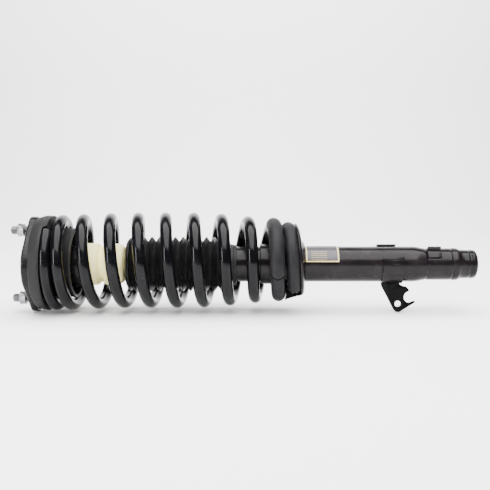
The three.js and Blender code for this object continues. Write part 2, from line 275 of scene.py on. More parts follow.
def black_paint(name, dark, haze, gloss, peel_mm, shine=0.135):
    """Black coating: a faint dusty haze, an orange-peel skin and smears in the gloss."""
    finish = Finish(name, specular_ior_level=shine)
    dust = finish.band(finish.noise(24, 5, rough=0.62), 0.45, 0.75)
    specks = finish.band(finish.noise(1.1, 2), 0.7, 0.78)
    colour = finish.mix(dark, haze, dust * 0.6 + specks * 0.25)
    smears = finish.noise(9, 4, finish.stretched(0.35, 1, 1))
    roughness = gloss + 0.1 * finish.band(smears, 0.35, 0.75) + 0.12 * specks
    peel = finish.bump(finish.noise(peel_mm, 1.5), 0.035, 0.55)
    return finish.wear(base_color=colour, roughness=roughness,
                       normal=finish.bump(specks, 0.02, 0.5, peel))


plate_paint = black_paint("plate_paint", (0.004, 0.004, 0.0045), (0.013, 0.013, 0.014), 0.22, 1.6)


def fitted(piece, material, body, slot, *nodes):
    """Give a finished piece its material and its body, and hide the nodes it stands for. The slot is not used."""
    piece.data.materials.clear()
    piece.data.materials.append(material)
    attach(piece, body)
    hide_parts(*nodes)
    return piece


def plate_edge(inset):
    """The plate's outline drawn in by inset: a taut line round two lobes and two flanks."""
    points = []
    for step in range(721):
        facing = math.radians(step / 2 - 0.25)
        y, z = -math.sin(facing), math.cos(facing)
        stud = STUD_SPREAD * abs(z) + LOBE_RADIUS
        flank = FLANK_SPREAD * abs(y) + FLANK_RADIUS
        if stud > flank:
            y *= LOBE_RADIUS - inset
            z = z * (LOBE_RADIUS - inset) + math.copysign(STUD_SPREAD, z)
        else:
            y = y * (FLANK_RADIUS - inset) + math.copysign(FLANK_SPREAD, y)
            z *= FLANK_RADIUS - inset
        points.append((math.degrees(math.atan2(-y, z)) % 360, y, z))
    points.sort()

    def radius(degrees):
        """Where the ray at an angle meets the outline."""
        ray_y, ray_z = place(1, degrees)
        after = next((i for i, point in enumerate(points) if point[0] > degrees % 360), 0)
        (_, y1, z1), (_, y2, z2) = points[after - 1], points[after]
        return (y1 * z2 - z1 * y2) / (ray_y * (z2 - z1) - ray_z * (y2 - y1))
    return radius


bore = 27.0
plate_rings = [(1, bore), (0.5, bore + 0.5), (0.5, 30.6), (0, 31.1), (0, 33), (0.5, 33.8),
               (1.1, 34.6), (1.1, 37.4), (0.5, 38.2), (0, 39), (0, plate_edge(3.4)),
               (0, plate_edge(2.9)),
               (0.3, plate_edge(1.6)), (0.9, plate_edge(0.75)), (1.8, plate_edge(0.2)),
               (2.9, plate_edge(0)), (3.4, plate_edge(0)), (9.6, plate_edge(0)),
               (10.2, plate_edge(0.15)), (PLATE_DEPTH, plate_edge(0.6)),
               (PLATE_DEPTH, plate_edge(2.3)), (10.1, plate_edge(2.9)), (9.7, plate_edge(SHEET)),
               (4.8, plate_edge(SHEET)), (3.7, plate_edge(3.4)), (SHEET, plate_edge(4.4)),
               (SHEET, 39), (3.6, 38.2), (4.1, 37.4), (4.1, 34.6), (3.6, 33.8), (SHEET, 33),
               (SHEET, 31), (3.6, 30), (10, 30), (PLATE_DEPTH, 29.4), (PLATE_DEPTH, bore + 0.5),
               (10, bore)]
fitted(lofted("mount_plate_pressing", plate_rings, 288), plate_paint, "top_mount",
       "black_paint", "mount_plate")

# ---------------------------------------------------------------------------
# Mount studs and nuts. Two M12 studs are pressed through the plate from below
# and stand out of its face, each with a flanged nut run part of the way down.
# Rolled and turned steel, zinc plated to a pale satin silver.
# ---------------------------------------------------------------------------

STUD_RADIUS = 6.0
STUD_TIP = -27.8
THREAD_PITCH = 1.5
NUT_FLATS = 17.0
NUT_SEAT, NUT_HEIGHT = -8.8, 9.4


def zinc_plate(name, tint, gloss):
    """Plated steel: cloudy in tone, with fine turning rings and a few dull stains."""
    finish = Finish(name, metallic=1.0)
    cloud = finish.noise(3.5, 4)
    stain = finish.band(finish.noise(7, 5, rough=0.7), 0.55, 0.75)
    colour = finish.mix(tint, tuple(0.62 * part for part in tint), 0.55 * stain + 0.35 * cloud)
    roughness = gloss + 0.16 * cloud + 0.14 * stain
    turning = finish.noise(0.35, 2, finish.stretched(6, 1, 1))
    return finish.wear(base_color=colour, roughness=roughness,
                       normal=finish.bump(turning, 0.02, 0.35))


bright_zinc = zinc_plate("bright_zinc", (0.26, 0.26, 0.27), 0.26)


def thread(start, end, radius, pitch):
    """Rings of a cut thread, fading out over a turn at the far end."""
    depth = 0.54 * pitch
    steps = 8
    rings = []
    count = int((end - start) / pitch * steps)
    for step in range(count + 1):
        x = start + (end - start) * step / count
        lead = min(1.0, 0.6 * (x - start) / pitch + 0.35)
        fade = min(1.0, (end - x) / pitch)

        def groove(degrees, x=x, lead=lead, fade=fade):
            phase = (x / pitch - degrees / 360) % 1
            flank = max(0.0, abs(phase - 0.5) * 2 - 0.12)
            return radius - depth * fade * flank - 0.5 * (1 - lead)
        rings.append((x, groove))
    return rings


def object_in_tree(name, sizes, work):
    """A Geometry Nodes tree with named sizes; work adds its nodes and returns the last one."""
    tree = bpy.data.node_groups.new(name, "GeometryNodeTree")
    tree.interface.new_socket("Geometry", in_out="INPUT", socket_type="NodeSocketGeometry")
    for label, kind in sizes.items():
        tree.interface.new_socket(label, in_out="INPUT", socket_type=f"NodeSocket{kind}")
    tree.interface.new_socket("Geometry", in_out="OUTPUT", socket_type="NodeSocketGeometry")
    entry = tree.nodes.new("NodeGroupInput")

    def step(kind, settings=None, **links):
        made = tree.nodes.new(f"GeometryNode{kind}")
        for setting, value in (settings or {}).items():
            setattr(made, setting, value)
        for label, value in links.items():
            socket = made.inputs[label.replace("_", " ")]
            if isinstance(value, bpy.types.NodeSocket):
                tree.links.new(value, socket)
            elif isinstance(value, bpy.types.Node):
                tree.links.new(value.outputs[0], socket)
            else:
                socket.default_value = value
        return made

    last = work(tree, entry, step)
    whole = step("RealizeInstances", Geometry=last)
    dressed = step("SetMaterial", Geometry=whole, Material=entry.outputs["Material"])
    leave = tree.nodes.new("NodeGroupOutput")
    tree.links.new(dressed.outputs[0], leave.inputs[0])
    return tree


def grown(name, seed, tree, smooth_to=34, **sizes):
    """Run a tree on a seed mesh and keep the plain mesh that comes out."""
    sockets = {item.name.replace(" ", "_"): item.identifier for item in tree.interface.items_tree
               if item.in_out == "INPUT"}
    modifier = seed.modifiers.new(name, "NODES")
    modifier.node_group = tree
    for label, value in sizes.items():
        modifier[sockets[label]] = value
    bpy.context.view_layer.update()
    graph = bpy.context.evaluated_depsgraph_get()
    mesh = bpy.data.meshes.new_from_object(seed.evaluated_get(graph))
    bpy.data.objects.remove(seed)
    mesh.name = name
    return finished(name, mesh, 2e-6, smooth_to)


def on_axis(tree, entry, label, axis):
    """A vector along one axis, as long as the named input says."""
    vector = tree.nodes.new("ShaderNodeCombineXYZ")
    tree.links.new(entry.outputs[label], vector.inputs[axis])
    return vector.outputs[0]


def row_across(tree, entry, step):
    """Copies of the seed evenly spaced on a line that runs down across the strut's axis."""
    line = step("MeshLine", Count=entry.outputs["Count"],
                Start_Location=on_axis(tree, entry, "First height", 2),
                Offset=on_axis(tree, entry, "Spacing", 2))
    return step("InstanceOnPoints", Points=line, Instance=entry.outputs["Geometry"])


copies_across = object_in_tree("copies_across", {
    "Count": "Int", "First height": "Float", "Spacing": "Float", "Material": "Material",
}, row_across)

stud_pair = {"Count": 2, "First_height": STUD_SPREAD * MM, "Spacing": -2 * STUD_SPREAD * MM,
             "Material": bright_zinc}

head_start, head_end = 3.3, 7.1
stud_rings = [(STUD_TIP, 0), (STUD_TIP, 4.2), (STUD_TIP + 0.4, 4.9)]
stud_rings += thread(STUD_TIP + 0.8, -2.0, STUD_RADIUS, THREAD_PITCH)
stud_rings += [(-1.9, STUD_RADIUS), (head_start, STUD_RADIUS), (head_start, 7.4),
               (head_start + 0.4, 7.9), (head_start + 0.9, 8.0), (head_end - 1.1, 8.0),
               (head_end - 0.4, 7.7), (head_end, 7.0), (head_end, 3.2), (head_end - 0.5, 2.6),
               (head_end - 0.5, 0)]
studs = grown("mount_studs", lofted("stud", stud_rings, 64), copies_across, **stud_pair)
fitted(studs, bright_zinc, "top_mount", "zinc", "mount_stud_1", "mount_stud_2")


def hexagon(flats, limit=100.0):
    """A hexagon with a corner at the top, its corners turned down to limit."""
    def radius(degrees):
        return min(limit, flats / 2 / math.cos(math.radians(degrees % 60 - 30)))
    return radius


def nut_rings(start, end, flats, bore, chamfer_both=True):
    """Rings of a hexagon nut with its corners chamfered and its bore countersunk."""
    corner = flats / 2 / math.cos(math.radians(30))
    rings = [(start + 0.8, bore), (start + 0.2, bore + 0.7), (start, bore + 0.9)]
    falls = (1.5, 1.05, 0.65, 0.3, 0.0)
    for fall in falls:
        rings.append((start + 0.9 - 0.6 * fall, hexagon(flats, corner - fall)))
    if chamfer_both:
        for fall in reversed(falls):
            rings.append((end - 0.9 + 0.6 * fall, hexagon(flats, corner - fall)))
    return rings


flange_top, flange_radius = NUT_SEAT - 1.8, 9.2
flanged_nut = nut_rings(NUT_SEAT - NUT_HEIGHT, flange_top, NUT_FLATS, STUD_RADIUS + 0.3, False)
flanged_nut += [(flange_top - 0.4, hexagon(NUT_FLATS, 8.6)), (flange_top, 8.8),
                (flange_top + 0.9, flange_radius), (NUT_SEAT - 0.3, flange_radius),
                (NUT_SEAT, flange_radius - 0.3), (NUT_SEAT, STUD_RADIUS + 0.3)]
nuts = grown("mount_nuts", lofted("nut", flanged_nut, 96), copies_across, **stud_pair)
fitted(nuts, bright_zinc, "top_mount", "zinc", "mount_nut_1", "mount_nut_2")

# ---------------------------------------------------------------------------
# Bush and the stack clamped on the rod's end. A rubber ring is bonded in the
# plate's collar round a steel sleeve; two washers and a nut hold the sleeve on
# the rod's thread. The rubber is moulded, the steel turned.
# ---------------------------------------------------------------------------


def moulded_rubber(name, dark, bloom, gloss, grain_mm):
    """Moulded rubber: a pale bloom in patches, a sandy skin and a few rubbed marks."""
    finish = Finish(name, specular_ior_level=0.2)
    patches = finish.band(finish.noise(18, 5, rough=0.65), 0.4, 0.72)
    grain = finish.noise(grain_mm, 3)
    marks = finish.band(finish.noise(5, 3, finish.stretched(1, 0.25, 1)), 0.64, 0.74)
    colour = finish.mix(dark, bloom, 0.55 * patches + 0.25 * grain + 0.3 * marks)
    roughness = gloss + 0.12 * patches - 0.08 * marks
    skin = finish.bump(grain, 0.05, 0.6)
    return finish.wear(base_color=colour, roughness=roughness,
                       normal=finish.bump(finish.noise(4, 2), 0.05, 0.3, skin))


insulator_rubber = moulded_rubber("insulator_rubber", (0.0035, 0.0033, 0.0035),
                                  (0.009, 0.0084, 0.0087), 0.56, 0.7)
bush_steel = zinc_plate("turned_steel", (0.5, 0.51, 0.52), 0.22)

bush_outer = 26.6
bush_profile = rounded([(-3.5, 12.6, 0.5), (-3.5, 20, 1.2), (-1.6, 21.5, 0.8), (-1.6, 23.5, 0.8),
                        (-3.5, 25, 1.2), (-3.5, 30, 1.2), (-0.3, 30, 0.6), (-0.3, bush_outer, 0.3),
                        (11.6, bush_outer, 0.8), (11.6, 22, 1.5), (8.5, 20.5, 1.2),
                        (8.5, 17, 1.2), (11.6, 15.5, 1.2), (11.6, 12.6, 0.4)])
fitted(lofted("bush_rubber", bush_profile), insulator_rubber, "top_mount", "rubber", "mount_bush")

thread_bore = 5.3
sleeve_profile = rounded([(-4.2, thread_bore, 0.4), (-4.2, 12.2, 0.5), (12, 12.2, 0.5),
                          (12, thread_bore, 0.4)])
fitted(lofted("bush_inner_sleeve", sleeve_profile, 96), bush_steel, "rod", "steel", "bush_sleeve")
for washer, start, end, radius in (("upper_rod_washer", -6.5, -4.5, 17),
                                   ("lower_rod_washer", 12.3, 14.3, 20)):
    washer_profile = rounded([(start, thread_bore, 0.3), (start, radius, 0.7), (end, radius, 0.4),
                              (end, thread_bore, 0.3)])
    fitted(lofted(f"{washer}_disc", washer_profile, 96), bright_zinc, "rod", "zinc", washer)
fitted(lofted("rod_nut_hexagon", nut_rings(-13, -6.8, NUT_FLATS, thread_bore), 96), bright_zinc,
       "rod", "zinc", "rod_nut")

# ---------------------------------------------------------------------------
# Piston rod. Ground bar, hard chromed between the seal's ends, with a rolled
# thread and a drilled hexagon socket at the top and a turned tail below for
# the piston.
# ---------------------------------------------------------------------------

ROD_RADIUS = 6.25


def hard_chrome():
    """Ground chrome: nearly a mirror, with a faint grinding lay round the bar."""
    finish = Finish("hard_chrome", metallic=1.0)
    lay = finish.noise(0.25, 2, finish.stretched(5, 1, 1))
    oil = finish.band(finish.noise(14, 4), 0.45, 0.7)
    colour = finish.mix((0.78, 0.79, 0.81), (0.58, 0.58, 0.57), 0.5 * oil)
    return finish.wear(base_color=colour, roughness=0.07 + 0.08 * oil + 0.05 * lay,
                       normal=finish.bump(lay, 0.004, 0.3))


socket_flats = 5.0
rod_rings = [(-11.5, 0), (-11.5, hexagon(socket_flats)), (-15.0, hexagon(socket_flats)),
             (-15.5, 3.3), (-15.5, 4.0)]
rod_rings += thread(-15.2, -4.6, 5.0, 1.25)
rod_rings += [(-4.5, 5.0), (16.9, 5.0), (16.9, 5.8), (17.4, ROD_RADIUS), (18, ROD_RADIUS),
              (308.5, ROD_RADIUS), (309, 5.8), (309, 4.7)]
rod_rings += thread(326, 337, 4.7, 1.25)
rod_rings += [(337.4, 4.3), (338, 3.9), (338, 0)]
fitted(lofted("chromed_rod", rod_rings, 48), hard_chrome(), "rod", "chrome", "piston_rod")

# ---------------------------------------------------------------------------
# Upper spring seat. A pressed cup centres a moulded rubber insulator: a thick
# ring that the first coil beds into, an end stop just before the wire's tip,
# and a long skirt inside the coil.
# ---------------------------------------------------------------------------

SEAT_LIFT = 2.0
WIRE_RADIUS = 8.4
# Where the wire passes the front, a row a turn: distance along the strut, mean
# radius, and how far the coil's own axis lies above the strut's.
COIL_TURNS = ((33.8, 59.6, 2), (51.6, 60.2, 2.6), (87.6, 60.2, 4), (125.5, 60.2, 5.2),
              (164, 60.2, 5.8), (202.3, 60.2, 5.8), (241.8, 60, 5.8), (280.2, 57.7, 5.8),
              (317.3, 53.9, 5.6), (351.5, 50, 5.2), (374.5, 44, 5))
CLOSED_PITCH = 16.4
COIL_FROM, COIL_TO = 39.0, 3744.0


def coil_turn(degrees):
    """Distance along, mean radius and lift of the wire's centre at an angle."""
    last = len(COIL_TURNS) - 1
    turn = (degrees - 90) / 360
    inside = min(max(turn, 0), last)
    index = min(int(inside), last - 1)
    t = inside - index
    p1, p2 = COIL_TURNS[index], COIL_TURNS[index + 1]
    p0 = COIL_TURNS[index - 1] if index else [2 * a - b for a, b in zip(p1, p2)]
    p3 = COIL_TURNS[index + 2] if index + 2 <= last else [2 * b - a for a, b in zip(p1, p2)]
    x, radius, lift = [
        0.5 * (2 * b + (c - a) * t + (2 * a - 5 * b + 4 * c - d) * t * t
               + (3 * b - a - 3 * c + d) * t ** 3)
        for a, b, c, d in zip(p0, p1, p2, p3)]
    return x + (turn - inside) * CLOSED_PITCH, radius, lift


def eased(value, low, high):
    t = min(max((value - low) / (high - low), 0), 1)
    return t * t * (3 - 2 * t)


def coil_point(degrees):
    """The wire's centre. The open turns lean forwards at their tops, then back."""
    x, radius, lift = coil_turn(degrees)
    y, z = place(radius, degrees)
    turn = (degrees - 90) / 360
    lean = eased(turn, 0.4, 2) * (1 - eased(turn, 8.6, 9.8)) * (1.8 - 0.9 * (turn - 2))
    return Vector((x - lean * z / radius, y, z + lift))


cup_profile = rounded([(8.9, 43, 1), (8.9, 48, 0.8), (11.2, 48, 0.8), (11.2, 46, 0.6),
                       (12.2, 45, 0.6), (52, 45, 0.7), (52, 43, 0.7)])
fitted(lofted("upper_seat_pressing", cup_profile, lift=SEAT_LIFT), plate_paint, "top_mount",
       "black_paint", "upper_seat_cup")

INSULATOR_FACE = 27.4
STOP_FACE = 33.0


def insulator_face(radius):
    """The bedding face at a radius: the end stop, and the groove under the first coil."""
    def x(degrees):
        signed = (degrees + 180) % 360 - 180
        stop = eased(signed, -66, -44) * (1 - eased(signed, 33, 37))
        face = INSULATOR_FACE + (STOP_FACE - INSULATOR_FACE) * stop
        if 36 < signed < 150:
            along, coil_radius, _ = coil_turn(signed)
            clear = WIRE_RADIUS + 0.35
            off = radius - coil_radius
            if abs(off) < clear:
                face = min(face, along - math.sqrt(clear * clear - off * off))
        return face
    return x


bed_radii = (67.6, 66.8, 65.8, 64.6, 63.2, 61.6, 59.8, 58, 56.2, 54.6, 53.2, 52, 51.2, 50.4)
insulator_rings = [(11.5, 45.3), (11.5, 62.6), (11.7, 63.8), (12.2, 64.6), (13, 65.1),
                   (14.5, 65.5), (18, 66.6), (21.5, 67.5), (24, 68), (25.8, 68.1)]
insulator_rings += [(insulator_face(radius), radius) for radius in bed_radii]
insulator_rings += [(INSULATOR_FACE + 0.6, 49.6), (INSULATOR_FACE + 1.6, 49.4), (61.6, 49.4),
                    (62.6, 49.8), (63, 50.3), (63.4, 50.5), (65.4, 50.5), (65.9, 50.2), (66, 49.6),
                    (66, 46.2), (65.5, 45.5), (64.6, 45.3)]
fitted(lofted("insulator_moulding", insulator_rings, 240, SEAT_LIFT), insulator_rubber,
       "top_mount", "rubber", "upper_spring_insulator")

# ---------------------------------------------------------------------------
# Bump stop and its cup. Cellular urethane, cast to a cream colour, sits in a
# pressed cup under the mount; one waist lets it shorten first, and its nose
# carries the dust boot.
# ---------------------------------------------------------------------------


def cellular_urethane():
    """Cast urethane foam: a creamy skin with fine open cells, soiled in clouds, and darker in its waist, where the
    darkening is painted shade.
    """
    finish = Finish("cellular_urethane", specular_ior_level=0.3, subsurface_weight=0.12,
                    subsurface_scale=0.003)
    cells = finish.node("ShaderNodeTexVoronoi", {}, {"Vector": finish.place, "Scale": 1600.0})
    cloud = finish.noise(12, 4)
    x, _, _ = finish.axes()
    # Painted shade: the cream colour darkens into the waist's groove.
    waist = 1 - finish.band((x - 0.102).absolute(), 0.002, 0.006)
    # The mix is partly real soiling in clouds and partly painted shade in the waist.
    soil_and_waist_shade = 0.45 * finish.band(cloud, 0.45, 0.75) + 0.4 * waist
    colour = finish.mix((1.0, 0.93, 0.44), (0.86, 0.74, 0.28), soil_and_waist_shade)
    pits = finish.band(cells, 0.15, 0.5)
    return finish.wear(base_color=colour, roughness=0.62 + 0.2 * pits,
                       normal=finish.bump(pits, 0.06, 0.5))


stop_cup_profile = rounded([(14.6, 5.3, 0.3), (14.6, 33, 2.5), (74, 33, 0.7), (74, 31, 0.7),
                            (16.6, 31, 1.2), (16.6, 5.3, 0.3)])
fitted(lofted("bump_stop_shell", stop_cup_profile, 96), plate_paint, "top_mount", "black_paint",
       "bump_stop_cup")
stop_bore = ROD_RADIUS + 1.2
stop_profile = rounded([(17.2, stop_bore, 1), (17.2, 30, 2), (96.5, 30, 2.5), (99.8, 25.4, 2.5),
                        (104.2, 25.4, 2.5), (107.5, 30, 2.5), (125, 29.4, 4), (131.5, 27, 4),
                        (134, 23.5, 2.5), (134, 15, 1), (140.6, 15, 1), (140.6, 18, 1),
                        (143.5, 18, 2), (147, 15, 2), (147, stop_bore, 1)])
fitted(lofted("bump_stop_casting", stop_profile, 96), cellular_urethane(), "top_mount",
       "urethane", "bump_stop")

# ---------------------------------------------------------------------------
# Dust boot. Blow-moulded in black rubber: a domed collar hooked on the bump
# stop's nose, twelve round-topped pleats, and a cuff snapped over the tube's
# cap.
# ---------------------------------------------------------------------------

BOOT_START, BOOT_END = 137.0, 295.0
PLEAT_PITCH = 11.2
PLEAT_COUNT = 12
FIRST_PEAK = 150.8
PEAK, VALLEY, BOOT_WALL = 39.5, 32.8, 1.6


def boot_rubber():
    """Satin black rubber, dusty down in the pleats and burnished on their crests."""
    finish = Finish("boot_rubber", specular_ior_level=0.35)
    deep = 1 - finish.band(finish.radius(), 0.0335, 0.0385)
    dust = finish.band(finish.noise(6, 5, rough=0.65), 0.35, 0.7)
    dusty = 0.55 * dust * deep + 0.15 * dust
    colour = finish.mix((0.0018, 0.0018, 0.0022), (0.008, 0.0077, 0.0075), dusty)
    return finish.wear(base_color=colour, roughness=0.33 + 0.22 * deep + 0.1 * dust,
                       normal=finish.bump(finish.noise(0.9, 3), 0.04, 0.45))


satin_boot = boot_rubber()


def open_skin(name, strips, sides):
    """Bands of rings that stay open at their ends, for a tree to join up."""
    points, faces = [], []
    for strip in strips:
        base = len(points)
        for x, radius in strip:
            for side in range(sides):
                y, z = place(radius, 360 * side / sides)
                points.append((x, y, z))
        faces += ring_faces(len(strip), sides, False, base)
    return built(name, points, faces)


def pleat_wave(peak, valley, steps=14):
    """One pleat from valley to valley about x = 0, round at the crest and in the fold."""
    wave = []
    for step in range(steps + 1):
        t = step / steps * 2 - 1
        ridge = 0.5 + 0.5 * math.cos(math.pi * t)
        shape = 0.55 * ridge + 0.45 * (1 - abs(t))
        wave.append((t * PLEAT_PITCH / 2, valley + (peak - valley) * shape))
    return wave


boot_sides = 112
pleat = open_skin("pleat", [pleat_wave(PEAK, VALLEY),
                            pleat_wave(PEAK - BOOT_WALL, VALLEY - BOOT_WALL)], boot_sides)
first_valley = FIRST_PEAK - PLEAT_PITCH / 2
last_valley = FIRST_PEAK + (PLEAT_COUNT - 0.5) * PLEAT_PITCH
dome = rounded([(first_valley, VALLEY), (144.4, 37.2, 3), (143.2, 38.4, 2), (140.4, 36.4, 3),
                (138.2, 32, 2), (BOOT_START, 27.5, 1.5), (BOOT_START, 15.4, 0.4), (138.6, 15.4, 0.4),
                (138.6, 27, 1.5), (139.6, 31, 2), (142, 35.2, 2), (144, 36, 1.5),
                (first_valley, VALLEY - BOOT_WALL)])
cuff = rounded([(last_valley, VALLEY), (282, 31.4, 2), (285.4, 29.4, 2), (287.5, 28.3, 1.5),
                (290.5, 28.3, 1), (291.2, 27.5, 0.5), (BOOT_END, 27.2, 0.8), (BOOT_END, 25.7, 0.4),
                (285.2, 25.7, 0.4), (284.6, 27.8, 0.4), (281, 29.6, 2),
                (last_valley, VALLEY - BOOT_WALL)])
collars = open_skin("boot_collars", [dome, cuff], boot_sides)


def row_of_pleats(tree, entry, step):
    """The seed repeated down the boot and sewn to the two collars."""
    line = step("MeshLine", Count=entry.outputs["Count"],
                Start_Location=on_axis(tree, entry, "First peak", 0),
                Offset=on_axis(tree, entry, "Pitch", 0))
    pleats = step("InstanceOnPoints", Points=line, Instance=entry.outputs["Geometry"])
    whole = step("RealizeInstances", Geometry=pleats)
    ends = step("ObjectInfo", Object=entry.outputs["Collars"])
    both = tree.nodes.new("GeometryNodeJoinGeometry")
    tree.links.new(whole.outputs[0], both.inputs[0])
    tree.links.new(ends.outputs["Geometry"], both.inputs[0])
    return step("MergeByDistance", Geometry=both, Distance=2e-5)


pleat_row = object_in_tree("pleat_row", {
    "Count": "Int", "Pitch": "Float", "First peak": "Float", "Collars": "Object",
    "Material": "Material"}, row_of_pleats)
boot = grown("boot_bellows", pleat, pleat_row, 60, Count=PLEAT_COUNT, Pitch=PLEAT_PITCH * MM,
             First_peak=FIRST_PEAK * MM, Collars=collars, Material=satin_boot)
bpy.data.objects.remove(collars)

stroke = next(joint for joint in frame["joints"] if joint["name"] == "damper_stroke")
travel = stroke["range_m"][1]
boot_length = (BOOT_END - BOOT_START) * MM
fitted(boot, satin_boot, "top_mount", "boot_rubber", "dust_boot")
1 - travel / boot_length
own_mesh(boot)

# ---------------------------------------------------------------------------
# Coil spring. Hot-wound 17 mm wire, ten and a quarter turns: one closed turn
# at the top, open turns, then a tapered lower end that drops into the seat.
# Shot peened and coated gloss black. Rubber sleeves cover the last turns.
# ---------------------------------------------------------------------------

SLEEVE_JOINT = 3354.0
SLEEVE_FROM = 3234.0
UPPER_REST = INSULATOR_FACE


def swept_round(tree, entry, step):
    """A round bar along the seed's edges, its ends closed."""
    path = step("MeshToCurve", Mesh=entry.outputs["Geometry"])
    ring = step("CurvePrimitiveCircle", Radius=entry.outputs["Radius"],
                Resolution=entry.outputs["Sides"])
    return step("CurveToMesh", Curve=path, Profile_Curve=ring, Fill_Caps=True)


round_bar = object_in_tree("round_bar", {
    "Radius": "Float", "Sides": "Int", "Material": "Material"}, swept_round)
coil_paint = black_paint("coil_paint", (0.002, 0.002, 0.0026), (0.007, 0.007, 0.0082), 0.13, 2.2)


def coil_wire(name, start, end):
    """The bare wire between two angles of the coil."""
    count = round((end - start) / 5)
    points = [coil_point(start + (end - start) * step / count) * MM for step in range(count + 1)]
    mesh = bpy.data.meshes.new(name)
    mesh.from_pydata(points, [(step, step + 1) for step in range(count)], [])
    return grown(name, stood(name, mesh), round_bar, 50, Radius=WIRE_RADIUS * MM, Sides=28,
                 Material=coil_paint)


joint_along = coil_point(SLEEVE_JOINT).x
spring_keep = 1 - travel / ((joint_along - UPPER_REST) * MM)


def shortened(piece):
    """Give a piece its own copy of its mesh."""
    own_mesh(piece)


open_turns = fitted(coil_wire("coil_open_turns", COIL_FROM, SLEEVE_JOINT + 8), coil_paint,
                    "top_mount", "black_paint", "coil_spring")
shortened(open_turns)
fitted(coil_wire("coil_end_turn", SLEEVE_JOINT + 14, COIL_TO - 2), coil_paint, "damper",
       "black_paint", "coil_spring")


def sleeve_rubber():
    """Grey rubber hose: a chalky bloom, a fine grain and a soft sheen."""
    finish = Finish("sleeve_rubber", specular_ior_level=0.14)
    bloom = finish.band(finish.noise(10, 5, rough=0.6), 0.35, 0.7)
    grain = finish.noise(0.8, 3)
    colour = finish.mix((0.005, 0.005, 0.0055), (0.012, 0.012, 0.0135), 0.6 * bloom + 0.2 * grain)
    return finish.wear(base_color=colour, roughness=0.5 + 0.16 * bloom,
                       normal=finish.bump(grain, 0.05, 0.5))


hose_grey = sleeve_rubber()


def coil_frame(degrees):
    """The wire's centre and two directions across it, outwards and along the strut."""
    centre = coil_point(degrees)
    heading = (coil_point(degrees + 0.5) - coil_point(degrees - 0.5)).normalized()
    y, z = place(1, degrees)
    outward = Vector((0, y, z))
    outward = (outward - heading * outward.dot(heading)).normalized()
    return centre, outward, heading.cross(outward)


def sleeve(name, start, end, outer, inner):
    """A hose on the wire. start, end and outer may follow the angle round the hose."""
    first, last = at_angle(start, 0), at_angle(end, 0)
    sides, degrees_per_step = 40, 4
    count = round((last - first) / degrees_per_step)

    def turned_in(share):
        return outer(share) - 0.9

    loops = [(0, turned_in)] + [(step / count, outer) for step in range(count + 1)] + [(1, turned_in)]
    loops += [(step / count, inner) for step in range(count, -1, -4)]
    points = []
    for share, radius in loops:
        for side in range(sides):
            around = 360 * side / sides
            low, high = at_angle(start, around), at_angle(end, around)
            centre, outward, across = coil_frame(low + (high - low) * share)
            reach = radius(share) if callable(radius) else radius
            angle = math.radians(around)
            points.append(centre + (outward * math.cos(angle) + across * math.sin(angle)) * reach)
    return built(name, points, ring_faces(len(loops), sides), 50)


def chevron(middle, depth):
    """A cut that points one way at the front of the hose and back at its sides."""
    def degrees(around):
        return middle + depth * (1 - 2 * abs(((around / 180) % 2) - 1))
    return degrees


def serrated(middle, depth, teeth):
    def degrees(around):
        return middle - depth * abs(((around / 360 * teeth) % 1) * 2 - 1)
    return degrees


upper_hose = sleeve("upper_hose", SLEEVE_FROM, chevron(SLEEVE_JOINT - 10, -5),
                    lambda share: 10.5 - 0.35 * math.exp(-share * 60), 8.6)
fitted(upper_hose, hose_grey, "top_mount", "sleeve_rubber", "coil_sleeve_upper")
shortened(upper_hose)
lower_hose = sleeve("lower_hose", chevron(SLEEVE_JOINT - 8, -5), serrated(COIL_TO, 5, 10),
                    lambda share: 9.8 + 0.2 * eased(share, 0.1, 0.8), 8.6)
fitted(lower_hose, hose_grey, "damper", "sleeve_rubber", "coil_sleeve_lower")

# ---------------------------------------------------------------------------
# Damper tube. Drawn steel tube, necked down in two steps where the fork grips
# it, with rolled rings that key the joint. Its lower cap is welded in and its
# upper end is spun over the rod guide; all of it is painted gloss black.
# ---------------------------------------------------------------------------

TUBE_RADIUS = 25.3
NECK_RADIUS = 22.8
END_RADIUS = 20.5
tube_paint = black_paint("tube_paint", (0.006, 0.0048, 0.0055), (0.02, 0.0158, 0.0175), 0.17, 2.6)

tube_profile = rounded([
    (272, TUBE_RADIUS, 0.5), (550, TUBE_RADIUS, 6), (560, 23.5, 4), (564, NECK_RADIUS, 1.5),
    (566, NECK_RADIUS - 0.9, 1), (568, NECK_RADIUS, 1.5), (600, NECK_RADIUS, 2),
    (602, NECK_RADIUS - 0.8, 1), (604, NECK_RADIUS + 0.5, 1), (610, NECK_RADIUS + 0.4, 2),
    (613.5, END_RADIUS + 0.6, 2), (618, END_RADIUS, 2), (625.4, END_RADIUS, 1),
    (627, END_RADIUS - 0.9, 1), (628.6, END_RADIUS, 0.8), (629.7, END_RADIUS, 0.4),
    (629.7, 17.7, 0.3), (612, 18.1, 1), (600, 20, 1), (566, 20, 1), (550, 23.3, 2),
    (272, 23.3, 0.5)], 5)
fitted(lofted("outer_tube", tube_profile, 160), tube_paint, "damper", "black_paint", "damper_tube")

cap_rings = [(624, 0), (624, 16.8), (624.4, 17.2), (630, 17.2), (630, 20.1), (630.4, 20.5),
             (633.6, 20.5), (635.2, 20.1), (636.6, 19.1), (637.6, 17.7), (638, 16.2), (638, 7.5),
             (637.4, 6.5), (637.4, 0)]
fitted(lofted("welded_end_cap", cap_rings, 96), tube_paint, "damper", "black_paint",
       "tube_bottom_cap")
top_cap_profile = rounded([(270, 7.45, 0.4), (270, 26.6, 1.2), (271.2, 27.2, 0.8), (284, 27.2, 0.6),
                           (284, 25.6, 0.3), (271.7, 25.6, 0.3), (271.7, 7.45, 0.4)])
fitted(lofted("top_end_cap", top_cap_profile, 96), tube_paint, "damper", "black_paint",
       "tube_top_cap")

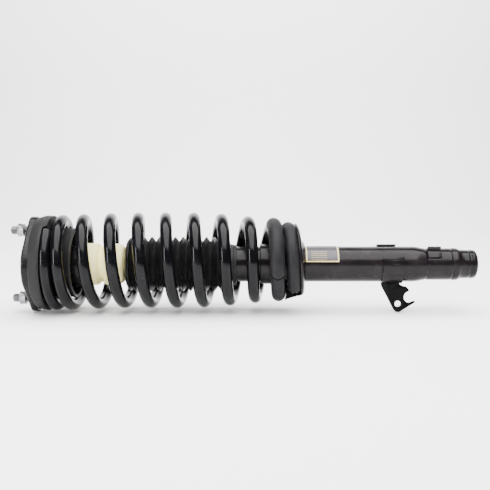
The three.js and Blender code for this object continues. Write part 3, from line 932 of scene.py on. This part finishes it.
# ---------------------------------------------------------------------------
# Inside the tube. The piston with its band, shims and nut on the rod, and the
# guide, seal, pressure tube and base valve in the tube. Sintered, turned and
# moulded pieces, wet with oil and never seen until the strut is cut open.
# ---------------------------------------------------------------------------


def sintered(name, tone, oily):
    """Pressed metal powder, pitted and darkened by oil."""
    finish = Finish(name, metallic=0.7)
    pits = finish.noise(0.6, 4)
    wet = finish.band(finish.noise(8, 4), 0.4, 0.7)
    return finish.wear(base_color=finish.mix(tone, oily, 0.7 * wet + 0.2 * pits),
                       roughness=0.55 - 0.25 * wet + 0.1 * pits,
                       normal=finish.bump(pits, 0.04, 0.6))


inner_finishes = {
    "steel": bush_steel,
    "rubber": insulator_rubber,
    "plastic": moulded_rubber("filled_polymer", (0.014, 0.014, 0.016), (0.03, 0.03, 0.032), 0.4, 0.5),
    "sintered_iron": sintered("sintered_iron", (0.17, 0.17, 0.18), (0.06, 0.058, 0.055)),
    "bronze": sintered("bearing_bronze", (0.42, 0.28, 0.14), (0.2, 0.12, 0.06)),
}
slot_of = {entry["node"]: entry["material_slot"] for entry in frame["record"]["subparts"]}
inner_nodes = ("rebound_stop", "rebound_shims", "piston", "piston_band", "compression_shims",
               "piston_nut", "rod_seal", "rod_guide", "guide_bush", "pressure_tube", "base_valve")
for node in inner_nodes:
    frame["nodes"][node].material_slots[0].material = inner_finishes[slot_of[node]]

# ---------------------------------------------------------------------------
# Lower spring seat. Pressed from 3 mm sheet as one climbing ramp under the
# last turn, with a step just past the wire's tip, and pushed on a long hub
# sleeve; both are welded to the tube and painted with it.
# ---------------------------------------------------------------------------

HUB_RADIUS, HUB_BORE = 28.8, 25.6
FLOOR_BELOW_WIRE = 11.0
SEAT_BACK = 392.0
STEP_AT = COIL_TO + 4
STEP_WIDTH = 10


def seat_wire(degrees):
    """At an angle, where the floor under the wire is along and how far out the wire is."""
    over = STEP_AT - 360 + (degrees - STEP_AT) % 360
    settled = max(over, STEP_AT - 360 + STEP_WIDTH)
    wire = coil_point(min(settled, COIL_TO))
    start = coil_point(min(STEP_AT - 360 + STEP_WIDTH, COIL_TO))
    end = coil_point(COIL_TO)
    share = eased(over, STEP_AT - 360, STEP_AT - 360 + STEP_WIDTH)
    if over < STEP_AT - 360 + STEP_WIDTH:
        wire = end.lerp(start, share)
    reach = math.hypot(wire.y, wire.z)
    return wire.x + FLOOR_BELOW_WIRE, reach


def seat_ring(along, out):
    """A ring of the seat, as offsets from the floor and from the wire's own radius."""
    return (lambda degrees: seat_wire(degrees)[0] + along,
            lambda degrees: seat_wire(degrees)[1] + out)


def outside_collar(out):
    """An offset from the wire's radius that never comes in to the collar."""
    return lambda degrees: max(seat_wire(degrees)[1] + out, collar + 3)


def slope_ring(share, short, out):
    """A ring on the slope, a share of the way from the floor back to the seam."""
    def along(degrees):
        floor, _ = seat_wire(degrees)
        return min(floor + (SEAT_BACK - floor) * share, seam - short)
    return (along, out)


collar = HUB_RADIUS + 0.3
seam = SEAT_BACK - SHEET
seat_rings = [seat_ring(along, out) for along, out in (
    (-2.2, 6.6), (-1.4, 5.2), (-0.2, 2.6), (0, 0), (-0.5, -4), (-1.6, -6.4), (-2.6, -8))]
seat_rings += [slope_ring(0.1, 1.2, outside_collar(-11)), slope_ring(0.35, 0.4, collar + 0.6),
               slope_ring(0.4, 0, collar), (seam, collar), (seam, HUB_BORE), (SEAT_BACK, HUB_BORE),
               (SEAT_BACK, collar - 0.6), (SEAT_BACK - 0.3, collar + 1),
               (seat_ring(2.5, 0)[0], outside_collar(-8.5))]
seat_rings += [seat_ring(along, out) for along, out in (
    (2.2, -6), (2.9, -3), (3, 2), (2, 5), (0.8, 7.2), (-0.6, 8), (-1.8, 7.6))]
fitted(lofted("seat_pressing", seat_rings, 240, smooth_to=40), tube_paint, "damper",
       "black_paint", "lower_spring_seat")
hub_profile = rounded([(328, HUB_BORE, 0.3), (328, HUB_RADIUS, 1.2), (388.7, HUB_RADIUS, 0.5),
                       (388.7, HUB_BORE, 0.3)])
fitted(lofted("seat_hub_sleeve", hub_profile, 96), tube_paint, "damper", "black_paint", "seat_hub")

# ---------------------------------------------------------------------------
# Hose bracket and tabs. Blanked from 2.6 mm sheet: a strap rolled to the tube
# and spot welded, an arm folded down from it with a bolt hole and an open
# round slot for the hose, a short tab behind, and the fork's locating tab.
# ---------------------------------------------------------------------------

STRAP_INNER = TUBE_RADIUS + 0.4
STRAP_OUTER = 28.3


def applied(piece):
    """Bake a piece's modifiers into its mesh."""
    graph = bpy.context.evaluated_depsgraph_get()
    mesh = bpy.data.meshes.new_from_object(piece.evaluated_get(graph))
    piece.modifiers.clear()
    piece.data = mesh
    return piece


def softened(piece, width_mm):
    """Break the sharp edges as deburring does."""
    bevel = piece.modifiers.new("deburr", "BEVEL")
    bevel.width = width_mm * MM
    bevel.segments = 2
    bevel.limit_method = "ANGLE"
    bevel.angle_limit = math.radians(40)
    applied(piece)
    piece.data.shade_smooth()
    piece.data.set_sharp_from_angle(angle=math.radians(40))
    return piece


def curved_sheet(name, start, end, inner, outer, first, last, step=3):
    """A sheet rolled round the tube between two angles."""
    count = max(2, round((last - first) / step))
    points, faces = [], []
    for index in range(count + 1):
        degrees = first + (last - first) * index / count
        for x, radius in ((start, inner), (start, outer), (end, outer), (end, inner)):
            y, z = place(radius, degrees)
            points.append((x, y, z))
    for index in range(count):
        for corner in range(4):
            after = (corner + 1) % 4
            faces.append((index * 4 + corner, index * 4 + after,
                          index * 4 + 4 + after, index * 4 + 4 + corner))
    faces.append((0, 1, 2, 3))
    faces.append(tuple(count * 4 + corner for corner in (3, 2, 1, 0)))
    return built(name, points, faces)


def arc(x, z, radius, start, end, steps=16):
    """Points on an arc in the arm's plane, between two angles in degrees."""
    points = []
    for step in range(steps + 1):
        angle = math.radians(start + (end - start) * step / steps)
        points.append((x + radius * math.cos(angle), z + radius * math.sin(angle)))
    return points


def plate_of(name, outline, face, back):
    """A flat plate from its outline in the XZ plane, between two values of y."""
    count = len(outline)
    points = [(x, face, z) for x, z in outline] + [(x, back, z) for x, z in outline]
    faces = [tuple(range(count)), tuple(range(2 * count - 1, count - 1, -1))]
    faces += [(i, (i + 1) % count, count + (i + 1) % count, count + i) for i in range(count)]
    return built(name, points, faces)


def combined(piece, other, operation):
    """Join another piece on, or cut it away."""
    boolean = piece.modifiers.new(operation.lower(), "BOOLEAN")
    boolean.operation = operation
    boolean.solver = "EXACT"
    boolean.object = other
    applied(piece)
    bpy.data.objects.remove(other)
    return piece


# A darker copy of the black paint for the folded arm: its darker colour is painted shade.
bracket_paint = black_paint("bracket_paint", (0.002, 0.002, 0.0023), (0.006, 0.006, 0.0065), 0.34,
                            1.8, shine=0.05)
FOLD = -27.5
arm_outline = [(526.9, -25.2), (501.8, -25.2), (502, -30.5)]
arm_outline += arc(526.5, -61.6, 7, 209.4, 303.1, 14)
arm_outline += [(550.3, -54.9), (551.3, -54.2), (549.6, -52.2)]
arm_outline += arc(543.3, -46.8, 8.4, -100, -260, 26)
arm_outline += [(542.2, -36.2), (538.3, -31.5), (534.5, -31.1), (528.9, -28.8)]
arm = plate_of("arm", arm_outline, -9.0, -6.4)
bolt_hole = plate_of("hole", arc(526.3, -56.6, 4.5, 0, 345, 23), -12, -3)
combined(arm, bolt_hole, "DIFFERENCE")
strap = curved_sheet("hose_bracket_pressing", 501.5, 531, STRAP_INNER, STRAP_OUTER, 62, 168)
combined(strap, arm, "UNION")
lanced = curved_sheet("lanced", 514, 525, STRAP_OUTER - 1, STRAP_OUTER + 1.6, 73, 84, 2)
combined(strap, lanced, "UNION")
gusset = plate_of("gusset", [(509, -26.5), (513.5, -36), (518, -26.5)], -10.6, -8.4)
combined(strap, gusset, "UNION")
softened(strap, 0.45)
fitted(strap, tube_paint, "damper", "black_paint", "hose_bracket")
# The folded arm takes a darker, less shiny copy of the paint. Its darker colour is painted shade, as strap and arm
# are one pressing painted alike.
strap.data.materials.append(bracket_paint)
for face in strap.data.polygons:
    face.material_index = int(face.center.z < FOLD * MM)

top_tab = softened(curved_sheet("top_tab_pressing", 497, 524, STRAP_INNER, 28.6, -50, -4), 0.4)
fitted(top_tab, tube_paint, "damper", "black_paint", "bracket_top_tab")

tab_base = curved_sheet("locating_tab_fold", 566, 585, 23.2, 25.4, 26, 62)
tab_fin = curved_sheet("fin", 566, 585, 24.2, 30, 26, 31, 2)
locating_tab = softened(combined(tab_base, tab_fin, "UNION"), 0.4)
fitted(locating_tab, tube_paint, "damper", "black_paint", "locating_tab")

# ---------------------------------------------------------------------------
# Label. Printed film wrapped on the tube's upper front below the seat: a dark
# field inside a pale border, with plain rules where print would be.
# ---------------------------------------------------------------------------

LABEL_START, LABEL_END = 392.6, 440.0
LABEL_FIRST, LABEL_LAST = -30.0, 78.0
LABEL_RADIUS = 26.1


def label_film(name):
    """The film, with u along the strut and v round the tube, both from 0 to 1."""
    film = curved_sheet(name, LABEL_START, LABEL_END, TUBE_RADIUS + 0.4, LABEL_RADIUS, LABEL_FIRST,
                        LABEL_LAST, 2)
    layer = film.data.uv_layers.new(name="print")
    for loop in film.data.loops:
        x, y, z = film.data.vertices[loop.vertex_index].co / MM
        degrees = math.degrees(math.atan2(-y, z))
        layer.data[loop.index].uv = ((x - LABEL_START) / (LABEL_END - LABEL_START),
                                     (degrees - LABEL_FIRST) / (LABEL_LAST - LABEL_FIRST))
    return film


def label_print():
    """A yellowish border line, one block of thin rules and a dark field, all scuffed."""
    finish = Finish("label_print", specular_ior_level=0.45)
    made = finish.tree.nodes.new("ShaderNodeUVMap")
    made.uv_map = "print"
    split = finish.tree.nodes.new("ShaderNodeSeparateXYZ")
    finish.tree.links.new(made.outputs[0], split.inputs[0])
    u, v = Signal(finish, split.outputs[0]), Signal(finish, split.outputs[1])
    length = LABEL_END - LABEL_START
    height = math.radians(LABEL_LAST - LABEL_FIRST) * LABEL_RADIUS
    edge_u = (0.5 - (u - 0.5).absolute()) * length
    edge_v = (0.5 - (v - 0.5).absolute()) * height
    edge = finish.node("ShaderNodeMath", {"operation": "MINIMUM"}, {0: edge_u, 1: edge_v})
    border = (edge > 0.7) * (edge < 2.1)
    rule = ((v * height / 3.2).fraction() < 0.16) * (edge > 4)
    block = ((u * length) > 8) * ((u * length) < 30) * (v * height > 30)
    pale = finish.node("ShaderNodeMath", {"operation": "MAXIMUM"}, {0: border, 1: rule * block * 0.5})
    scuff = finish.band(finish.noise(4, 4), 0.5, 0.75)
    field = finish.mix((0.036, 0.031, 0.037), (0.062, 0.055, 0.064), scuff)
    colour = finish.mix(field, (0.78, 0.62, 0.24), pale * (1 - 0.3 * scuff))
    return finish.wear(base_color=colour, roughness=0.3 + 0.2 * scuff,
                       normal=finish.bump(finish.noise(1.5, 2), 0.02, 0.4))


fitted(label_film("label_wrap"), label_print(), "damper", "label_paper", "tube_label")

# ---------------------------------------------------------------------------
# Studio. A pale sweep of paper under and behind the strut, a broad light
# overhead, a strip on the left that draws a bright line on the turns near it, a
# dim room, and two washes that whiten the paper and don't show in the gloss.
# ---------------------------------------------------------------------------

floor_z = cad_box[0][2] - 0.001


def sweep():
    """Paper that lies flat and curves up behind the strut."""
    reach, rise, bend = 1.4, 3.0, 0.6
    profile = [(-3.0, floor_z), (reach, floor_z)]
    for step in range(1, 13):
        angle = math.pi / 2 * step / 12
        profile.append((reach + bend * math.sin(angle), floor_z + bend * (1 - math.cos(angle))))
    profile.append((reach + bend, floor_z + rise))
    points, faces = [], []
    for y, z in profile:
        points += [(-3.0, y, z), (3.6, y, z)]
    for index in range(len(profile) - 1):
        faces.append((index * 2, index * 2 + 1, index * 2 + 3, index * 2 + 2))
    mesh = bpy.data.meshes.new("paper_sweep")
    mesh.from_pydata(points, [], faces)
    mesh.shade_smooth()
    paper = stood("paper_sweep", mesh)
    finish = Finish("white_paper", roughness=0.9, specular_ior_level=0.1)
    fibres = finish.noise(3, 3)
    paper.data.materials.append(finish.wear(
        base_color=finish.mix((0.86, 0.86, 0.86), (0.9, 0.9, 0.9), fibres)))


sweep()


def soft_light(name, place_at, aim, width, depth, power):
    light = bpy.data.lights.new(name, "AREA")
    light.shape = "RECTANGLE"
    light.size = width
    light.size_y = depth
    light.energy = power
    lamp = stood(name, light)
    lamp.location = place_at
    lamp.rotation_euler = (Vector(aim) - Vector(place_at)).to_track_quat("-Z", "Y").to_euler()
    return lamp


soft_light("overhead", (0.3, -0.5, 1.0), (0.3, -0.42, 0), 1.7, 1.6, 84)
soft_light("left_strip", (-0.78, -0.85, 0.3), (0.2, 0, 0), 0.13, 0.66, 15)
soft_light("back_wash", (0.3, 0.9, 1.7), (0.3, 1.9, 0.4), 2.8, 0.6, 130).visible_glossy = False
soft_light("floor_fill", (0.3, -0.1, 1.7), (0.3, 0, 0), 2.6, 2.2, 34).visible_glossy = False

world = bpy.data.worlds.new("dim_room")
world.use_nodes = True
world.node_tree.nodes["Background"].inputs[0].default_value = (0.9, 0.92, 0.95, 1)
world.node_tree.nodes["Background"].inputs[1].default_value = 0.06
bpy.context.scene.world = world

camera_data = bpy.data.cameras.new("camera")
camera_data.sensor_width = 36.0
camera_data.lens = 53.5
camera_data.clip_start = 0.05
camera = stood("camera", camera_data)
elevation, tilted_up = math.radians(7.0), math.radians(1.495)
distance, abreast = 1.05, 0.3069
camera.location = (abreast, -distance * math.cos(elevation), distance * math.sin(elevation))
camera.rotation_euler = (math.pi / 2 - elevation + tilted_up, 0, 0)
bpy.context.scene.camera = camera
